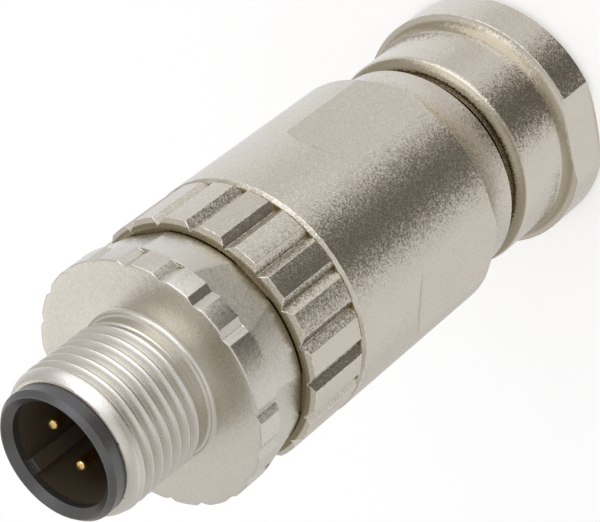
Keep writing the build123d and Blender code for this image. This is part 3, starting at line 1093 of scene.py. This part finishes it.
@dataclass
class Insert(SolidPieces):
    """The black insert with its contacts, and what holds and seals it."""

    finishes: tuple[tuple[str, Finish], ...] = (
        ("contact_carrier", INSERT),
        ("terminal_block", MOULDED),
        ("terminal_screws", STEEL),
        ("carrier_clip", STEEL),
        ("carrier_o_ring", SEALING),
        ("housing_o_ring", SEALING),
    )
    contact_count: int = 4

    def dress(self, palette: Palette) -> None:
        """Put the finishes on the insert's solids and on its contacts.

        Args:
            palette: The materials.
        """
        super().dress(palette)
        for number in range(1, self.contact_count + 1):
            palette.paint(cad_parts[f"contact_{number}"], GOLD)


@dataclass
class CableClamp(SolidPieces):
    """The pieces that grip the cable and its shield."""

    finishes: tuple[tuple[str, Finish], ...] = (
        ("clamp_cage", MOULDED),
        ("cable_seal", SEALING),
        ("thrust_washer", BRONZE),
        ("shield_ring", BRONZE),
    )


@dataclass(frozen=True)
class Lobe:
    """A round soft patch of the studio's surroundings, which only reflections show.

    Its angles are in degrees. The core and the edge are measured from its middle.
    """

    azimuth: float
    elevation: float
    core: float
    edge: float
    tone: float

    def direction(self) -> Vector:
        """Find the way from the object to the patch's middle.

        Returns:
            The way, as a vector of length one.
        """
        turn = math.radians(self.azimuth)
        rise = math.radians(self.elevation)
        across = math.cos(rise)
        return Vector((across * math.cos(turn), across * math.sin(turn), math.sin(rise)))

    def lay(self, tree: Tree, way: bpy.types.NodeSocket, under: Source) -> bpy.types.NodeSocket:
        """Lay the patch over what lies under it.

        Args:
            tree: The world's node tree.
            way: The socket of the direction.
            under: The tone under the patch.

        Returns:
            The socket of the tone with the patch.
        """
        toward = tree.vector_math("DOT_PRODUCT", way, self.direction())
        edge = math.cos(math.radians(self.edge))
        core = math.cos(math.radians(self.core))
        share = tree.ramp(toward.outputs["Value"], edge, core, 0.0, 1.0)
        kept = tree.math("MULTIPLY", under, tree.math("SUBTRACT", 1.0, share))
        return tree.math("ADD", kept, tree.math("MULTIPLY", share, self.tone))


@dataclass(frozen=True)
class Card:
    """A square soft light of one radiance, which points at the object."""

    name: str
    place: tuple[float, float, float]
    size: float
    radiance: float

    def hang(self, middle: Vector) -> None:
        """Hang the light.

        Args:
            middle: The point that it faces.
        """
        data = bpy.data.lights.new(self.name, "AREA")
        data.size = self.size
        data.energy = self.radiance * math.pi * self.size**2
        light = show(self.name, data)
        light.location = self.place
        light.rotation_euler = (light.location - middle).to_track_quat("Z", "Y").to_euler()


@dataclass
class Studio:
    """The floor, the surroundings, the lights and the camera.

    The camera's turn is in degrees. Its lens and sensor are in millimetres.
    """

    camera_place: tuple[float, float, float] = (115.820 * MM, -89.551 * MM, 154.489 * MM)
    camera_turn: tuple[float, float, float] = (-35.455, 36.407, -88.0)
    lens: float = 152.91
    sensor: float = 36.0
    clip: Span = (0.01, 10.0)
    floor_size: float = 1.2
    floor_colour: tuple[float, float, float, float] = (0.93, 0.93, 0.93, 1.0)
    floor_glow: float = 0.46
    base_tone: float = 0.7
    soft_tone: float = 0.55
    warm: Colour = (1.06, 1.0, 0.91)
    cool: Colour = (0.96, 1.0, 1.07)
    hue_span: Span = (0.2, 1.2)
    light_target: tuple[float, float, float] = (0.0, 0.0, 0.04)
    lobes: tuple[Lobe, ...] = (
        Lobe(100, -50, 20, 50, 1.05),
        Lobe(-115, -42, 25, 60, 0.92),
        Lobe(8, 12, 18, 54, 1.85),
        Lobe(2, -40, 5, 18, 0.95),
        Lobe(142, 37, 10, 30, 0.82),
        Lobe(-150, 50, 10, 30, 0.62),
        Lobe(50, 34, 10, 28, 0.8),
        Lobe(-62, -8, 12, 30, 0.55),
        Lobe(-49, -39, 13, 31, 0.13),
        Lobe(178, -41, 10, 30, 0.74),
        Lobe(-78, 42, 12, 34, 0.95),
        Lobe(-100, -82, 8, 26, 0.45),
    )
    cards: tuple[Card, ...] = (
        Card("key", (0.3, 0.11, 0.24), 0.25, 0.3),
        Card("back", (-0.055, 0.085, 0.106), 0.06, 0.4),
    )

    def build_camera(self) -> None:
        """Place the camera where the photograph was taken from."""
        data = bpy.data.cameras.new("camera")
        data.lens = self.lens
        data.sensor_width = self.sensor
        data.clip_start, data.clip_end = self.clip
        camera = show("camera", data)
        camera.location = self.camera_place
        camera.rotation_euler = [math.radians(turn) for turn in self.camera_turn]
        bpy.context.scene.camera = camera

    def build_floor(self) -> None:
        """Lay a pale floor that shows white and keeps the shadow, and isn't mirrored."""
        half = self.floor_size / 2
        corners = [(-half, -half, 0), (half, -half, 0), (half, half, 0), (-half, half, 0)]
        mesh = bpy.data.meshes.new("floor")
        mesh.from_pydata(corners, [], [(0, 1, 2, 3)])
        floor = show("floor", mesh)
        material = bpy.data.materials.new("floor_pale")
        material.use_nodes = True
        tree = Tree(material.node_tree)
        out = tree.add("OutputMaterial")
        matt = tree.add("BsdfDiffuse", Color=self.floor_colour)
        glow = tree.add("Emission", Color=WHITE, Strength=self.floor_glow)
        both = tree.add("AddShader")
        tree.link(matt.outputs["BSDF"], both.inputs[0])
        tree.link(glow.outputs["Emission"], both.inputs[1])
        tree.link(both.outputs["Shader"], out.inputs["Surface"])
        mesh.materials.append(material)
        floor.visible_glossy = False

    def build_world(self) -> None:
        """Surround the object with white, and its reflections with the studio's soft patches."""
        world = bpy.data.worlds.new("studio")
        bpy.context.scene.world = world
        world.use_nodes = True
        tree = Tree(world.node_tree)
        out = tree.add("OutputWorld")
        path = tree.add("LightPath")
        way = tree.add("TexCoord").outputs["Generated"]
        tone: Source = self.base_tone
        for lobe in self.lobes:
            tone = lobe.lay(tree, way, tone)
        mirrored = tree.add("Background")
        hue = tree.blend(tree.ramp(tone, *self.hue_span, 0.0, 1.0), self.warm, self.cool)
        tree.link(hue, mirrored.inputs["Color"])
        tree.link(tone, mirrored.inputs["Strength"])
        plain = tree.add("Background", Color=WHITE, Strength=1.0)
        soft = tree.add("Background", Color=WHITE, Strength=self.soft_tone)
        first = tree.add("MixShader")
        tree.link(path.outputs["Is Glossy Ray"], first.inputs["Fac"])
        tree.link(soft.outputs["Background"], first.inputs[1])
        tree.link(mirrored.outputs["Background"], first.inputs[2])
        seen, passed = path.outputs["Is Camera Ray"], path.outputs["Is Transmission Ray"]
        clear = tree.math("MAXIMUM", seen, passed)
        second = tree.add("MixShader")
        tree.link(clear, second.inputs["Fac"])
        tree.link(first.outputs["Shader"], second.inputs[1])
        tree.link(plain.outputs["Background"], second.inputs[2])
        tree.link(second.outputs["Shader"], out.inputs["Surface"])

    def build(self) -> None:
        """Set up the camera, the floor, the world and the lights."""
        bpy.context.scene.view_settings.view_transform = "Standard"
        self.build_camera()
        self.build_floor()
        self.build_world()
        for card in self.cards:
            card.hang(Vector(self.light_target))


def main() -> None:
    """Build the connector's looks and its studio."""
    logging.basicConfig(level=logging.INFO, format="%(name)s: %(message)s")
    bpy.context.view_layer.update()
    palette = Palette()
    Housing().dress(palette)
    Insert().dress(palette)
    CableClamp().dress(palette)
    screw = CouplingScrew().dress(palette)
    LOG.info("%s has %d faces", screw.name, len(screw.data.polygons))
    Studio().build()


if __name__ == "__main__":
    main()
